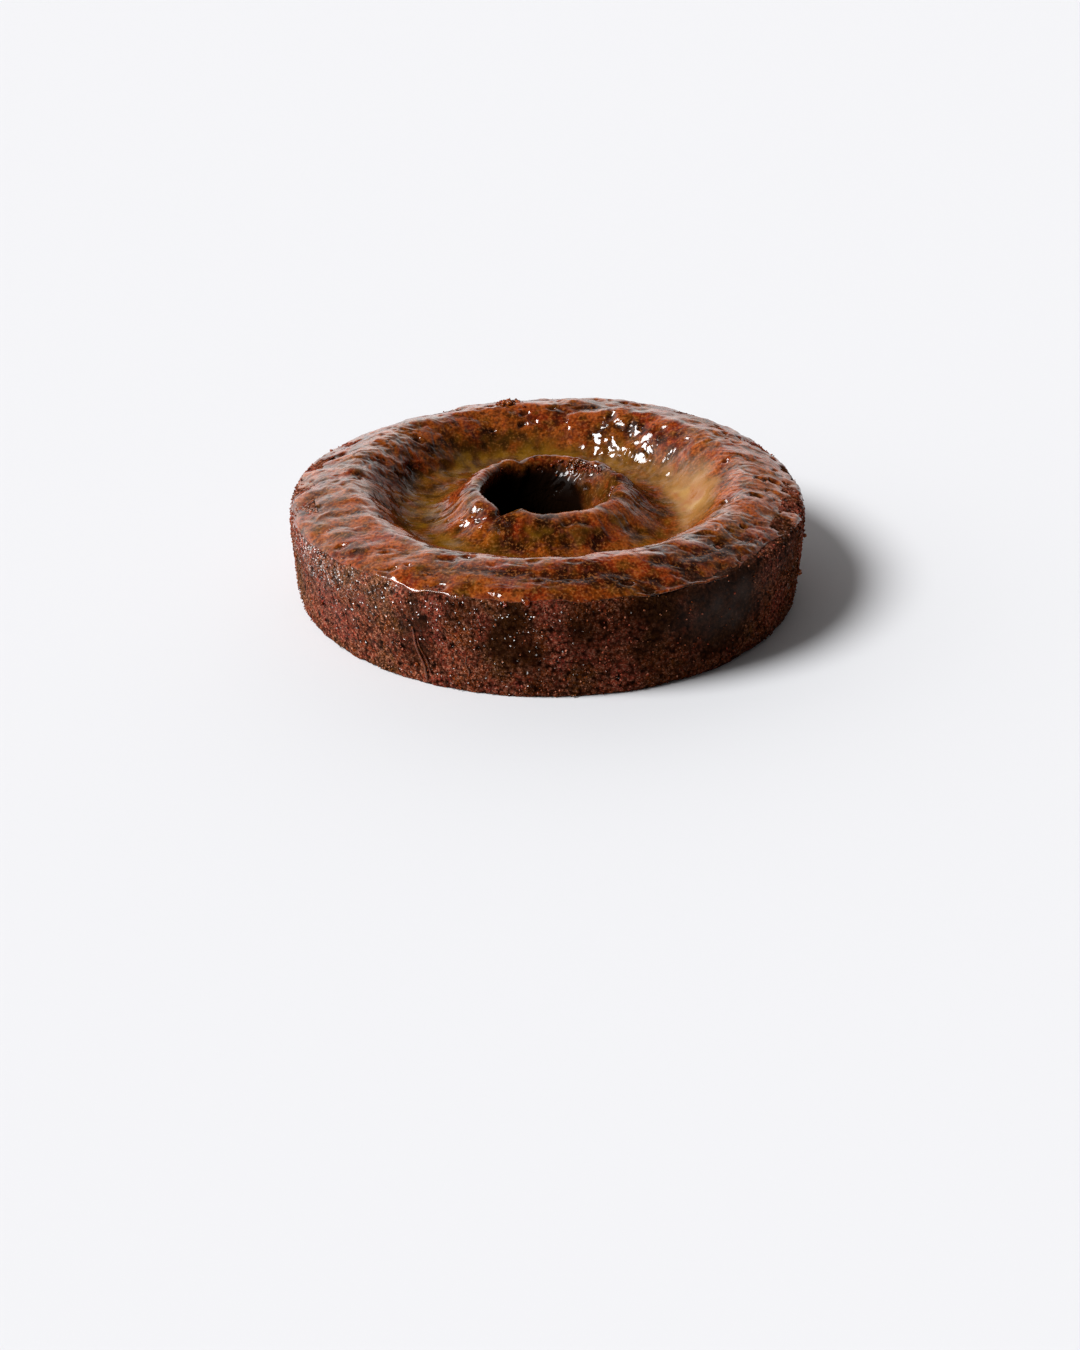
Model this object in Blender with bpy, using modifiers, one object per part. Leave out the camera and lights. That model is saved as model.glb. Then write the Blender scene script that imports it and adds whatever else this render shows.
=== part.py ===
"""Sticky toffee pudding baked as a ring: one solid, in metres, +Z up.

The pudding stands on its flat base with the origin at the centre of that base. Its outline is
turned about the middle, and the baking's unevenness is then worked in by angle: the rim rises
and falls, the shoulder slumps at the back left, the hub leans and its lip is nicked.
Angles are in degrees from +X towards +Y, and -Y is the front.
"""

import math

import bpy

MM = 0.001

# ---- driving dimensions, in millimetres -------------------------------------------------------
RADIUS = 128.0            # widest, a little below the shoulder
BASE_RADIUS = 124.0       # where the tin's corner rounded the bottom edge
SIDE_TOP = 38.5           # height of the widest ring
CREST_RADIUS = 99.5       # ring along the top of the rim
CREST_HEIGHT = 56.4
MOAT_RADIUS = 64.0        # ring along the bottom of the sunken moat
MOAT_HEIGHT = 36.2
HUB_RADIUS = 37.4         # ring along the top of the raised hub
HUB_HEIGHT = 51.0
BORE_RADIUS = 25.5        # the tin's tube, low in the hole
BORE_SHIFT = -7.0         # the tube stood off centre, so the right of the hole is a slope

STEPS_ROUND = 84          # segments round the ring
STEPS_SPAN = 2            # points for each stretch between two stations of the outline

# Rises and falls of the rim: (angle, half width in degrees, height in millimetres).
CREST_SWELLS = [(285.0, 48.0, 1.9), (40.0, 45.0, 0.8), (225.0, 26.0, -1.9), (112.0, 26.0, -0.7)]
SHOULDER_SWELLS = [(128.0, 40.0, -2.6), (58.0, 30.0, 1.7), (180.0, 28.0, 1.2), (262.0, 50.0, 1.8)]
# The hub leans forward. Its lip is split at the back, drawn in along the front and lumpy there.
HUB_LEAN = 1.6
HUB_SWELLS = [(112.0, 6.5, -1.8), (229.0, 6.0, -1.6), (246.0, 8.0, 1.8), (20.0, 30.0, 1.0)]
LIP_INSETS = [
    (112.0, 6.0, 2.0), (284.0, 42.0, 5.8), (242.0, 9.0, 4.5), (228.0, 5.0, -3.0), (215.0, 14.0, 1.6),
]


def outline_stations():
    """Radius and height of each turning point, from the crest down the outside and back."""
    return [
        (CREST_RADIUS, CREST_HEIGHT),
        (112.5, CREST_HEIGHT - 3.6),
        (121.6, CREST_HEIGHT - 7.0),
        (125.4, CREST_HEIGHT - 8.7),
        (127.3, SIDE_TOP + 5.9),
        (RADIUS, SIDE_TOP),
        (RADIUS - 0.5, 30.0),
        (RADIUS - 1.5, 15.0),
        (BASE_RADIUS + 1.4, 2.0),
        (BASE_RADIUS, 0.0),
        (BORE_RADIUS + 2.5, 0.0),
        (BORE_RADIUS + 1.0, 2.0),
        (BORE_RADIUS, 12.0),
        (BORE_RADIUS + 0.6, 28.0),
        (29.2, 38.0),
        (31.8, 46.0),
        (34.0, HUB_HEIGHT - 0.6),
        (HUB_RADIUS, HUB_HEIGHT),
        (42.2, 48.0),
        (49.0, 41.5),
        (57.0, MOAT_HEIGHT + 1.0),
        (MOAT_RADIUS, MOAT_HEIGHT),
        (72.0, 37.9),
        (77.2, 42.4),
        (82.0, 47.7),
        (87.6, 52.3),
        (93.0, CREST_HEIGHT - 1.3),
    ]


def spline_point(before, start, end, after, t):
    """Point at t on the Catmull-Rom curve from start to end."""
    return tuple(
        0.5 * (2 * b + (c - a) * t + (2 * a - 5 * b + 4 * c - d) * t * t
               + (3 * b - a - 3 * c + d) * t ** 3)
        for a, b, c, d in zip(before, start, end, after)
    )


def outline_points():
    """The closed outline: smooth through its stations, and straight across the flat base."""
    stations = outline_stations()
    count = len(stations)
    points = []
    for i, start in enumerate(stations):
        end = stations[(i + 1) % count]
        on_base = start[1] == 0.0
        meets_base = end[1] == 0.0
        before = start if on_base else stations[i - 1]
        after = end if meets_base else stations[(i + 2) % count]
        pieces = 1 if on_base and meets_base else STEPS_SPAN
        for k in range(pieces):
            points.append(spline_point(before, start, end, after, k / pieces))
    return points


def smooth(low, high, value):
    """Ease from 0 at low to 1 at high."""
    t = min(max((value - low) / (high - low), 0.0), 1.0)
    return t * t * (3 - 2 * t)


def swell(swells, angle):
    """Sum of the bell-shaped swells at an angle, all in degrees."""
    total = 0.0
    for centre, half_width, size in swells:
        away = (angle - centre + 180.0) % 360.0 - 180.0
        total += size * math.exp(-((away / half_width) ** 2))
    return total


def settle(x, y, z):
    """Move one point of the turned shape to where the baked pudding has it."""
    radius = math.hypot(x, y)
    angle = math.degrees(math.atan2(y, x)) % 360.0
    high = smooth(25.0, 48.0, z)

    crest = smooth(76.0, 96.0, radius) * (1 - smooth(103.0, 122.0, radius)) * high
    shoulder = smooth(100.0, 118.0, radius) * high
    hub = (1 - smooth(40.0, 58.0, radius)) * high
    lip = (1 - smooth(34.0, 39.0, radius)) * high
    tube = (1 - smooth(30.0, 50.0, z)) * (1 - smooth(30.0, 36.0, radius))

    lean = HUB_LEAN * math.sin(math.radians(angle))
    height = z + crest * swell(CREST_SWELLS, angle) + shoulder * swell(SHOULDER_SWELLS, angle)
    height += hub * (lean + swell(HUB_SWELLS, angle))
    reach = radius - lip * swell(LIP_INSETS, angle)
    return (x * reach / radius + tube * BORE_SHIFT, y * reach / radius, height)


def turned_mesh(name, points):
    """Turn the closed outline about Z with a Screw modifier and return the evaluated mesh."""
    profile = bpy.data.meshes.new(name + "_outline")
    edges = [(i, (i + 1) % len(points)) for i in range(len(points))]
    profile.from_pydata([(r * MM, 0.0, z * MM) for r, z in points], edges, [])
    turned = bpy.data.objects.new(name + "_outline", profile)
    bpy.context.scene.collection.objects.link(turned)

    screw = turned.modifiers.new("turn", "SCREW")
    screw.axis = "Z"
    screw.angle = math.tau
    screw.steps = STEPS_ROUND
    screw.render_steps = STEPS_ROUND
    screw.use_merge_vertices = True
    screw.merge_threshold = 0.00005

    bpy.context.view_layer.update()
    evaluated = turned.evaluated_get(bpy.context.evaluated_depsgraph_get())
    mesh = bpy.data.meshes.new_from_object(evaluated)
    bpy.data.objects.remove(turned)
    bpy.data.meshes.remove(profile)
    return mesh


def centre_on_base(mesh):
    """Slide the mesh sideways until its box is centred on the origin."""
    for axis in (0, 1):
        places = [v.co[axis] for v in mesh.vertices]
        middle = (min(places) + max(places)) / 2
        for v in mesh.vertices:
            v.co[axis] -= middle


def sponge_material():
    """Dark date sponge, sticky with toffee."""
    material = bpy.data.materials.new("toffee_sponge")
    material.use_nodes = True
    shader = material.node_tree.nodes["Principled BSDF"]
    shader.inputs["Base Color"].default_value = (0.085, 0.028, 0.012, 1.0)
    shader.inputs["Roughness"].default_value = 0.35
    shader.inputs["Metallic"].default_value = 0.0
    return material


def build_pudding(collection):
    """The whole ring pudding as one closed solid."""
    mesh = turned_mesh("pudding", outline_points())
    mesh.name = "pudding"
    for v in mesh.vertices:
        x, y, z = (c / MM for c in v.co)
        v.co = [c * MM for c in settle(x, y, z)]
    centre_on_base(mesh)
    mesh.update()

    pudding = bpy.data.objects.new("pudding", mesh)
    collection.objects.link(pudding)
    mesh.materials.clear()
    mesh.materials.append(sponge_material())
    mesh.shade_smooth()
    mesh.set_sharp_from_angle(angle=math.radians(50.0))
    return pudding


def main():
    for old in list(bpy.data.objects):
        bpy.data.objects.remove(old)
    collection = bpy.data.collections.new("sticky_toffee_pudding")
    bpy.context.scene.collection.children.link(collection)
    build_pudding(collection)


main()
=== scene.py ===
# %% [markdown]
# # A sticky toffee pudding baked as a ring
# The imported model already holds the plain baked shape. This lesson gives it what the oven and the
# sauce give the real one: an open moist crumb on the side, a lumpy pitted crust on top, a film of
# toffee that pools in the moat and runs over the edge, and loose crumbs. Everything is in metres in
# the model's own frame, with +Z up and -Y the front, but the sums below are in millimetres. Angles
# run from +X towards +Y, so the front is 270 degrees.

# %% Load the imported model
import math

import bpy
import numpy as np
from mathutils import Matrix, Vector


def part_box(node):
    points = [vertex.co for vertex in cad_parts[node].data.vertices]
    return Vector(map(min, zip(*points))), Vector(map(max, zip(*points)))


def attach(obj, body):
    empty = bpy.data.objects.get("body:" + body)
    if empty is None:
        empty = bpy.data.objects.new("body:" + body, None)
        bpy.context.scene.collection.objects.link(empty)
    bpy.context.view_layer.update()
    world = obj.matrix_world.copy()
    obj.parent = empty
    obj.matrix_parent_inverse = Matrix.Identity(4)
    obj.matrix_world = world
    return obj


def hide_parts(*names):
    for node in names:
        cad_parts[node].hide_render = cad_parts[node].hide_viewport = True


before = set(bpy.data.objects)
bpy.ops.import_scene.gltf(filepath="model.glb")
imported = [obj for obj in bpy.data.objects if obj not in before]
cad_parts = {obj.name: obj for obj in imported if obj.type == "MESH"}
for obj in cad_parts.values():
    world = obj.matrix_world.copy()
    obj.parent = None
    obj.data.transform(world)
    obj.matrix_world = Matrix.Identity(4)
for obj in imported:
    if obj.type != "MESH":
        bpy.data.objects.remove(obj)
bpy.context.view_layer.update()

MM = 0.001
low, high = (np.array(corner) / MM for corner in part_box("pudding"))
print("pudding from", low.round(1), "to", high.round(1), "mm")

# %% [markdown]
# ## Chance without dice
# Baked things are uneven at every scale. They could be sculpted by hand, but a formula can be read
# and changed. A hash turns each place on a lattice into a fixed chance value, so a pattern has no
# seam where the ring closes and comes out the same on every run.

# %% Chance values on a lattice
def chance(lattice, seed):
    """A fixed value from 0 to 1 for a whole-number place: times primes, bits mixed, low bits kept."""
    mixed = (lattice * np.array([374761393, 668265263, 1274126177])).sum(-1) + seed * 974634777
    mixed = mixed & 0xFFFFFFFF
    mixed = ((mixed ^ (mixed >> 13)) * 1274126177) & 0xFFFFFFFF
    mixed = mixed ^ (mixed >> 16)
    return (mixed & 0xFFFFFF) / 0xFFFFFF


def corners(first, last):
    """The whole-number steps of a small cube, from first to last along each side."""
    steps = np.arange(first, last + 1)
    return np.stack(np.meshgrid(steps, steps, steps, indexing="ij"), -1).reshape(-1, 3)


print("chance at two neighbours:", chance(np.array([(3, 5, 7), (4, 5, 7)]), 0).round(3))

# %% [markdown]
# ### Smooth noise
# Noise eases between the chance values in 3-D, which gives lumps of one size. Layers of it, each
# finer and lower than the last, look like something that grew.

# %% Noise in 3-D
def noise(place, size, seed=0):
    """Smooth noise, about -1 to 1: each lattice corner pulls along its own slope, eased by distance."""
    scaled = place / size
    base = np.floor(scaled).astype(np.int64)
    part = scaled - base
    eased = part ** 3 * (part * (part * 6 - 15) + 10)
    total = np.zeros(place.shape[:-1])
    for step in corners(0, 1):
        slope = np.stack([chance(base + step, seed + k) * 2 - 1 for k in range(3)], -1)
        weight = np.where(step == 1, eased, 1 - eased).prod(-1)
        total += weight * (slope * (part - step)).sum(-1)
    return total * 1.7


def layered(place, size, octaves, seed=0):
    """Noise on noise: each layer has half the size and half the height of the one before."""
    return sum(noise(place, size / 2 ** k, seed + 7 * k) / 2 ** k for k in range(octaves))


sample = np.random.default_rng(0).uniform(0, 200, (4000, 3))
print("noise runs from", noise(sample, 10).min().round(2), "to", noise(sample, 10).max().round(2))

# %% [markdown]
# ### Cells
# A crumb or a pore has a middle of its own. Cells put one middle in each box of a lattice, at a
# chance place, and tell how far the nearest one is and what its own chance value is.

# %% Cells in 3-D
def cells(place, size, seed=0):
    """Distance to the nearest cell middle, in cell sizes, and that cell's own value from 0 to 1."""
    scaled = place / size
    base = np.floor(scaled).astype(np.int64)
    nearest = np.full(place.shape[:-1], 9.0)
    owner = np.zeros(place.shape[:-1])
    for step in corners(-1, 1):
        lattice = base + step
        middle = lattice + np.stack([chance(lattice, seed + k) for k in range(3)], -1)
        away = np.linalg.norm(scaled - middle, axis=-1)
        closer = away < nearest
        owner = np.where(closer, chance(lattice, seed + 3), owner)
        nearest = np.where(closer, away, nearest)
    return nearest, owner


print("a cell's middle is on average", cells(sample, 1)[0].mean().round(2), "cell sizes away")

# %% [markdown]
# ### Where things happen
# What the cook did is not even round the ring. An ease turns something on or off over a distance,
# a swell is a bell round the ring, and a patch is one both round the ring and across it. In every
# list below a swell is (angle, half width in degrees, size) and a patch is (angle, half width in
# degrees, place, half width in mm, size), where the place is a radius, a height on the side or a way
# down from the lip.

# %% Eases, swells and patches
def ease(low_end, high_end, value):
    """From 0 at low_end to 1 at high_end, level at both ends."""
    part = np.clip((value - low_end) / (high_end - low_end), 0, 1)
    return part * part * (3 - 2 * part)


def between(start, full, fading, gone, value):
    """Eased up from 0 at start to 1 at full, and back down from fading to 0 at gone."""
    return ease(start, full, value) * (1 - ease(fading, gone, value))


def degrees_away(angle, centre):
    """Signed difference of two angles, from -180 to 180 degrees."""
    return (angle - centre + 180) % 360 - 180


def swell(swells, angle):
    """Bell-shaped swells added up: each is its size times e to the minus (distance / half width) squared."""
    return sum(size * np.exp(-(degrees_away(angle, centre) / half_width) ** 2)
               for centre, half_width, size in swells)


def bells(patches, angle, across):
    """Bell-shaped patches added up: as swells are, with the distance across squared and added too."""
    return sum(size * np.exp(-(degrees_away(angle, centre) / half_angle) ** 2
                             - ((across - place) / half_width) ** 2)
               for centre, half_angle, place, half_width, size in patches)


print("a swell of 2 mm at 90 degrees is", swell([(90, 20, 2)], 100).round(2), "mm high at 100 degrees")

# %% [markdown]
# ## The baked form
# The outline goes from the rim's crest down the outside, across the base, up the hole, over the hub
# and through the moat, back to the crest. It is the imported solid's own outline, but as a smooth
# curve, so that each piece can lie on it as finely as it needs.

# %% The outline
CREST_HEIGHT = 56.4
OUTLINE = np.array([
    (99.5, CREST_HEIGHT), (112.5, 52.8), (121.6, 49.4), (125.4, 47.7), (127.3, 44.4), (128, 38.5),
    (127.5, 30), (126.5, 15), (125.4, 2), (124, 0), (28, 0), (26.5, 2), (25.5, 12),
    (26.1, 28), (29.2, 38), (31.8, 46), (34, 50.4), (37.4, 51), (42.2, 48), (49, 41.5),
    (57, 37.2), (64, 36.2), (72, 37.9), (77.2, 42.4), (82, 47.7), (87.6, 52.3), (93, 55.1),
])
SHOULDER, CORNER, BORE_FOOT, BORE_NECK, HUB_TOP, MOAT, INNER_RIM = 2, 9, 10, 14, 17, 21, 25
STEPS = 40


def smooth_outline():
    """Catmull-Rom curve through the outline's points, straight across the base, closed."""
    points = []
    for i, start in enumerate(OUTLINE):
        end = OUTLINE[(i + 1) % len(OUTLINE)]
        before = start if start[1] == 0 else OUTLINE[i - 1]
        after = end if end[1] == 0 else OUTLINE[(i + 2) % len(OUTLINE)]
        t = np.linspace(0, 1, STEPS, endpoint=False)[:, None]
        points.append(0.5 * (2 * start + (end - before) * t
                             + (2 * before - 5 * start + 4 * end - after) * t ** 2
                             + (3 * start - before - 3 * end + after) * t ** 3))
    return np.concatenate(points + [OUTLINE[:1]])


curve = smooth_outline()
PATH = np.concatenate([[0], np.cumsum(np.linalg.norm(np.diff(curve, axis=0), axis=1))])
LOOP = PATH[-1]
STATION = PATH[:-1:STEPS]
print("once round the outline is", round(LOOP), "mm")

# %% [markdown]
# ### How it settled
# A plain turned ring would look machined. The real one rose and slumped unevenly: these are the same
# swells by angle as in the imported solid, so the skins below lie on it everywhere.

# %% Turned, then settled
CREST_SWELLS = [(285, 48, 1.9), (40, 45, 0.8), (225, 26, -1.9), (112, 26, -0.7)]
SHOULDER_SWELLS = [(128, 40, -2.6), (58, 30, 1.7), (180, 28, 1.2), (262, 50, 1.8)]
HUB_LEAN = 1.6
HUB_SWELLS = [(112, 6.5, -1.8), (229, 6, -1.6), (246, 8, 1.8), (20, 30, 1)]
LIP_INSETS = [(112, 6, 2), (284, 42, 5.8), (242, 9, 4.5), (228, 5, -3), (215, 14, 1.6)]
BORE_SHIFT = -7
SHORT_STEP = 0.4


def form(angle, path):
    """Points of the baked form at an angle and a distance along the outline: turned, then settled."""
    path = np.mod(path, LOOP)
    radius = np.interp(path, PATH, curve[:, 0])
    height = np.interp(path, PATH, curve[:, 1])
    up = ease(25, 48, height)
    crest = between(76, 96, 103, 122, radius) * up
    shoulder = ease(100, 118, radius) * up
    hub = (1 - ease(40, 58, radius)) * up
    lip = (1 - ease(34, 39, radius)) * up
    tube = (1 - ease(30, 50, height)) * (1 - ease(30, 36, radius))
    turn = np.radians(angle)
    settled = height + crest * swell(CREST_SWELLS, angle) + shoulder * swell(SHOULDER_SWELLS, angle)
    settled += hub * (HUB_LEAN * np.sin(turn) + swell(HUB_SWELLS, angle))
    reach = radius - lip * swell(LIP_INSETS, angle)
    return np.stack([reach * np.cos(turn) + tube * BORE_SHIFT, reach * np.sin(turn), settled], -1)


def form_normal(angle, path):
    """Outward unit normal of the form: across two short steps on it, one each way."""
    along = form(angle, path + SHORT_STEP) - form(angle, path - SHORT_STEP)
    around = form(angle + SHORT_STEP, path) - form(angle - SHORT_STEP, path)
    normal = np.cross(along, around)
    return normal / np.linalg.norm(normal, axis=-1, keepdims=True)


def off_form(angle, path, lift):
    """Points off the form: each place on it, plus its outward normal times the lift in mm."""
    return form(angle, path) + form_normal(angle, path) * lift[..., None]


def radius_of(points):
    """Distance of points from the ring's upright axis."""
    return np.hypot(points[..., 0], points[..., 1])


print("crest at the front", form(270, 0).round(1), "mm")

# %% [markdown]
# ## From numbers to a mesh
# A ring's skin is a grid that meets itself both ways, like a doughnut's, so four arrays of corner
# numbers, each rolled by one, are all its faces, and there is no edge left open. Named values ride
# along on the vertices, where the finishes read them.

# %% Grid to mesh
def in_scene(name, data):
    """A new object that shows a mesh, a lamp or a camera, linked into the scene."""
    made = bpy.data.objects.new(name, data)
    bpy.context.scene.collection.objects.link(made)
    return made


def vertex_mesh(name, points, faces, values):
    """Mesh object from vertex places in millimetres, faces, and values from 0 to 1 on the vertices."""
    mesh = bpy.data.meshes.new(name)
    mesh.from_pydata(points * MM, [], faces)
    for key, array in values.items():
        layer = mesh.attributes.new(key, "FLOAT", "POINT")
        layer.data.foreach_set("value", np.asarray(array, np.float32).ravel())
    mesh.shade_smooth()
    mesh.update()
    print(name, "has", len(faces) * (faces.shape[1] - 2), "triangles")
    return in_scene(name, mesh)


def ring_mesh(name, points, **values):
    """Mesh of a grid of points that closes both ways: each face joins a point to its next row and column."""
    here = np.arange(points.shape[0] * points.shape[1]).reshape(points.shape[:2])
    after = np.roll(here, -1, axis=0)
    quads = np.stack([here, after, np.roll(after, -1, axis=1), np.roll(here, -1, axis=1)], -1)
    return vertex_mesh(name, points.reshape(-1, 3), quads.reshape(-1, 4), values)


# %% [markdown]
# ## Where the toffee went
# The sauce was poured warm. It soaked the top, pooled in the moat, and ran over the edge in a few
# places, where it filled the pores of the side. The next functions say how much there is at a place,
# from 0 to 1, and every piece reads them, so shape and colour agree.

# %% Sauce down the side
RUNS = [  # angle, half width in degrees, how far down the side in mm, strength
    (241, 3, 40, 0.8), (250, 2.5, 16, 0.5), (262, 5.5, 34, 0.7), (276, 4, 24, 0.4),
    (291, 9, 30, 0.5), (312, 9, 42, 0.9), (338, 7, 30, 0.5), (12, 6, 36, 0.7),
    (47, 8, 28, 0.7), (83, 6, 40, 0.8), (120, 9, 30, 0.6), (155, 5, 38, 0.7),
]
# broad stretches where the side is darker and its crumb lower, the broadest at the front right
DARK_SIDE_STRETCHES = [(297, 30, 0.62), (335, 14, 0.25), (80, 40, 0.35), (262, 20, 0.3)]
EDGE_HEIGHT = 48


def soaked(points, angle):
    """How dark and smooth the side is: broad darker stretches, and bell-shaped runs of sauce in its pores
    that fade where each one ends.
    """
    wander = noise(points, 16, 50) * 3
    total = swell(DARK_SIDE_STRETCHES, angle) * (0.8 + 0.5 * noise(points, 21, 51))
    for centre, half_width, length, strength in RUNS:
        foot = EDGE_HEIGHT - length
        ending = ease(foot - 4, foot + 8, points[..., 2])
        total += strength * ending * np.exp(-(degrees_away(angle + wander, centre) / half_width) ** 2)
    return np.clip(total + 0.22 * layered(points, 9, 2, 60), 0, 1)


print(len(RUNS), "runs of sauce, the longest", max(run[2] for run in RUNS), "mm down the side")

# %% [markdown]
# ### Pools
# Standing sauce finds the low places. Thin, it is an olive syrup, and deep on the moat's right wall
# it is a pale tan caramel.

# %% Sauce in the moat
POOL_FLOOR = [(92, 24, 0.45), (60, 20, 0.3), (125, 22, 0.4), (200, 45, 0.3)]
POOL_WALL = [(10, 22, 0.85)]
HUB_HOLLOWS = [(295, 55, 0.65)]
LIP_SYRUP = [(8, 34, 0.9)]
CARAMEL_WALL = [(8, 26, 1), (52, 16, 0.25)]


def pooled(points, angle):
    """Standing sauce: on the moat's floor, up its right wall, in the hub's hollows and inside the lip."""
    radius = radius_of(points)
    shore = radius + layered(points, 20, 2, 70) * 4
    floor = between(50, 60, 72, 82, shore)
    wall = between(62, 70, 76, 88, shore)
    hollow = between(38, 44, 52, 60, radius)
    hollow *= ease(0, 0.4, noise(points, 11, 73)) * swell(HUB_HOLLOWS, angle)
    lip = (1 - ease(32, 37, radius)) * swell(LIP_SYRUP, angle) * (0.75 + 0.5 * noise(points, 7, 74))
    low_sauce = floor * (0.3 + swell(POOL_FLOOR, angle))
    return np.clip(low_sauce + wall * swell(POOL_WALL, angle) + hollow + lip, 0, 1)


def caramel(points, angle):
    """How much of the sauce is pale caramel: most on the moat's right wall, in streaks."""
    wall = ease(60, 70, radius_of(points))
    return np.clip(wall * swell(CARAMEL_WALL, angle) * (1 + 0.5 * layered(points, 12, 2, 75)), 0, 1)


print("sauce on the moat's floor at the back:", pooled(form(90, STATION[MOAT]), 90).round(2))

# %% [markdown]
# ### Dark and wet places
# Little light reaches down the hole, so shade is painted into its colour there: nearly black several
# millimetres down, later on its right slope, which the window lights. The moat's back left wall is
# painted darker too. Where the film lies thick and unbroken, the crust is wet enough to mirror the
# room. In two gritty places bare crumb is glazed, so that each grain glitters by itself.

# %% Painted shade down the hole and the wet film
HOLE_EDGE = 51.5
GENTLE_SLOPE = [(5, 40, 1)]
DARK_WALL = [(138, 26, 0.4)]
WET_PLACES = [
    (68, 28, 79, 10, 0.9), (84, 12, 84, 8, 0.5), (28, 16, 84, 7, 0.5), (246, 30, 43, 12, -1),
    (180, 38, 44, 14, 0.9), (5, 36, 30, 8, -0.9), (205, 45, 64, 9, -0.35), (185, 28, 80, 8, -0.1),
    (335, 25, 62, 9, -0.3), (45, 45, 112, 16, -0.4), (350, 30, 108, 12, -0.4), (285, 40, 113, 6, -0.6),
    (128, 45, 86, 12, 0.5), (262, 10, 121, 5, 0.4),
]
GRITTY = [(57, 20, 33.2, 3.8, 1.2), (212, 15, 45, 7, 0.4)]


def burnt(points, angle):
    """Painted shade down the hole from its lip, later on its right, and a darker stretch on the moat's back
    left wall.
    """
    radius = radius_of(points)
    drop = HOLE_EDGE + HUB_LEAN * np.sin(np.radians(angle)) - points[..., 2] + noise(points, 6, 91)
    gentle = swell(GENTLE_SLOPE, angle)
    hole = ease(8.5 * gentle - 1, 9 + 17 * gentle, drop) * (1 - ease(35.5, 39, radius))
    wall = between(60, 68, 80, 92, radius) * swell(DARK_WALL, angle)
    return np.clip(hole + wall * (0.55 + noise(points, 9, 90)), 0, 1)


def wetness(points, angle):
    """How glossy the film is: full on the rim's and the hub's tops, thin in the moat, none down the hole."""
    radius = radius_of(points)
    total = 0.28 + 0.72 * ease(86, 95, radius) + 0.4 * (1 - ease(44, 54, radius))
    total += 0.25 * layered(points, 13, 2, 95) + bells(WET_PLACES, angle, radius)
    shallow = 1 - ease(0, 0.7, burnt(points, angle))
    return np.clip(np.clip(total, 0, 1) * shallow + bells(GRITTY, angle, radius), 0, 1)


print("burnt at the hole's neck:", burnt(form(90, STATION[BORE_NECK]), 90).round(2))

# %% [markdown]
# ## The crumb of the side
# Against the tin the sponge baked into a fine open crumb: rounded grains of 1 to 2 mm, pores
# between them and a few larger holes where steam got out. A shader bump would leave the outline
# smooth, so the grains are real relief.

# %% Crumb relief
GRAIN, GRIT, STEAM_HOLE = 1.9, 1.2, 6


def crumb_relief(points, soak):
    """Height of the crumb in mm, and how far into a pore or steam hole a place is, which the finish paints
    dark as shade: rounded grains from cells, less high where sauce soaked in.
    """
    near, own = cells(points, GRAIN, 11)
    grain = (0.55 - near) * (0.4 + 1.1 * own)
    near_small, own_small = cells(points, GRIT, 12)
    grit = (0.5 - near_small) * own_small
    hole_near, hole_own = cells(points, STEAM_HOLE, 13)
    hole = np.where(hole_own > 0.5, np.clip(1 - hole_near / (0.14 + 0.18 * hole_own), 0, 1), 0)
    rough = 1 - 0.55 * soak
    height = 0.55 * layered(points, 22, 3, 14)
    height += rough * (0.75 * grain + 0.5 * grit - 1.2 * ease(0, 1, hole))
    return height, ease(0, 1, 0.55 - grain * 1.3 - 0.4 * grit + hole)


dry_height, _ = crumb_relief(sample, 0)
print("dry crumb stands from", dry_height.min().round(1), "to", dry_height.max().round(1), "mm")

# %% [markdown]
# ### The band
# The side is one fine band from under the glaze to just under the base. Its inner rows run back
# 4 mm inside the sponge, so it is a closed piece with a wall and no open edge. Glint patches tell the
# finish where grains get a clear coat and are painted pale as glints, and sheen patches where grey is
# painted over the crumb as a sheen.

# %% Side band
SIDE_ROWS, HIDDEN_ROWS, SIDE_COLUMNS = 86, 6, 1160
UNDER_GLAZE, UNDER_BASE = 6, 4
BAND_WALL = 4
# patches where more grains get a clear coat and are painted pale as glints
GLINT_PATCHES = [(205, 28, 42, 16, 0.42), (245, 30, 48, 9, 0.15)]
# patches where grey is painted over the crumb as a sheen
PAINTED_SHEEN_PATCHES = [(312, 11, 34, 13, 0.7), (332, 8, 40, 8, 0.25), (202, 28, 32, 28, 0.5)]


def side_band():
    """Outer rows lie on the form with the crumb's relief, and inner rows close the band behind them."""
    top, foot = STATION[SHOULDER] - UNDER_GLAZE, STATION[CORNER] + UNDER_BASE
    outer = np.linspace(top, foot, SIDE_ROWS - HIDDEN_ROWS)
    inner = np.linspace(foot - 5, top + 3, HIDDEN_ROWS)
    turns = np.linspace(0, 360, SIDE_COLUMNS, endpoint=False)
    path, angle = np.meshgrid(np.concatenate([outer, inner]), turns, indexing="ij")
    points = form(angle, path)
    soak = soaked(points, angle)
    height, pore = crumb_relief(points, soak)
    row = np.arange(SIDE_ROWS)[:, None]
    last = len(outer) - 1
    lift = np.where(row <= last, height * ease(0, 3, row) * ease(0, 3, last - row) - 0.2, -BAND_WALL)
    placed = off_form(angle, path, lift)
    placed[..., 2] = np.maximum(placed[..., 2], 0.15)
    glint = bells(GLINT_PATCHES, angle, points[..., 2]) * (0.8 + 0.5 * noise(points, 6, 61))
    haze = bells(PAINTED_SHEEN_PATCHES, angle, points[..., 2]) * (0.8 + 0.5 * noise(points, 9, 62))
    return ring_mesh("side_crumb", placed, soak=soak, pore=pore, glint=glint, haze=haze)


side = side_band()

# %% [markdown]
# ## The glazed crust
# The top is the skin that met the oven's heat: swollen plates with low steps between them, dents
# where bubbles sank, wrinkles, and pits where they burst. Each is a layer of relief of its own size.
# A sculpted copy could look as good, but a sum of layers can be tuned one at a time.

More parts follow.
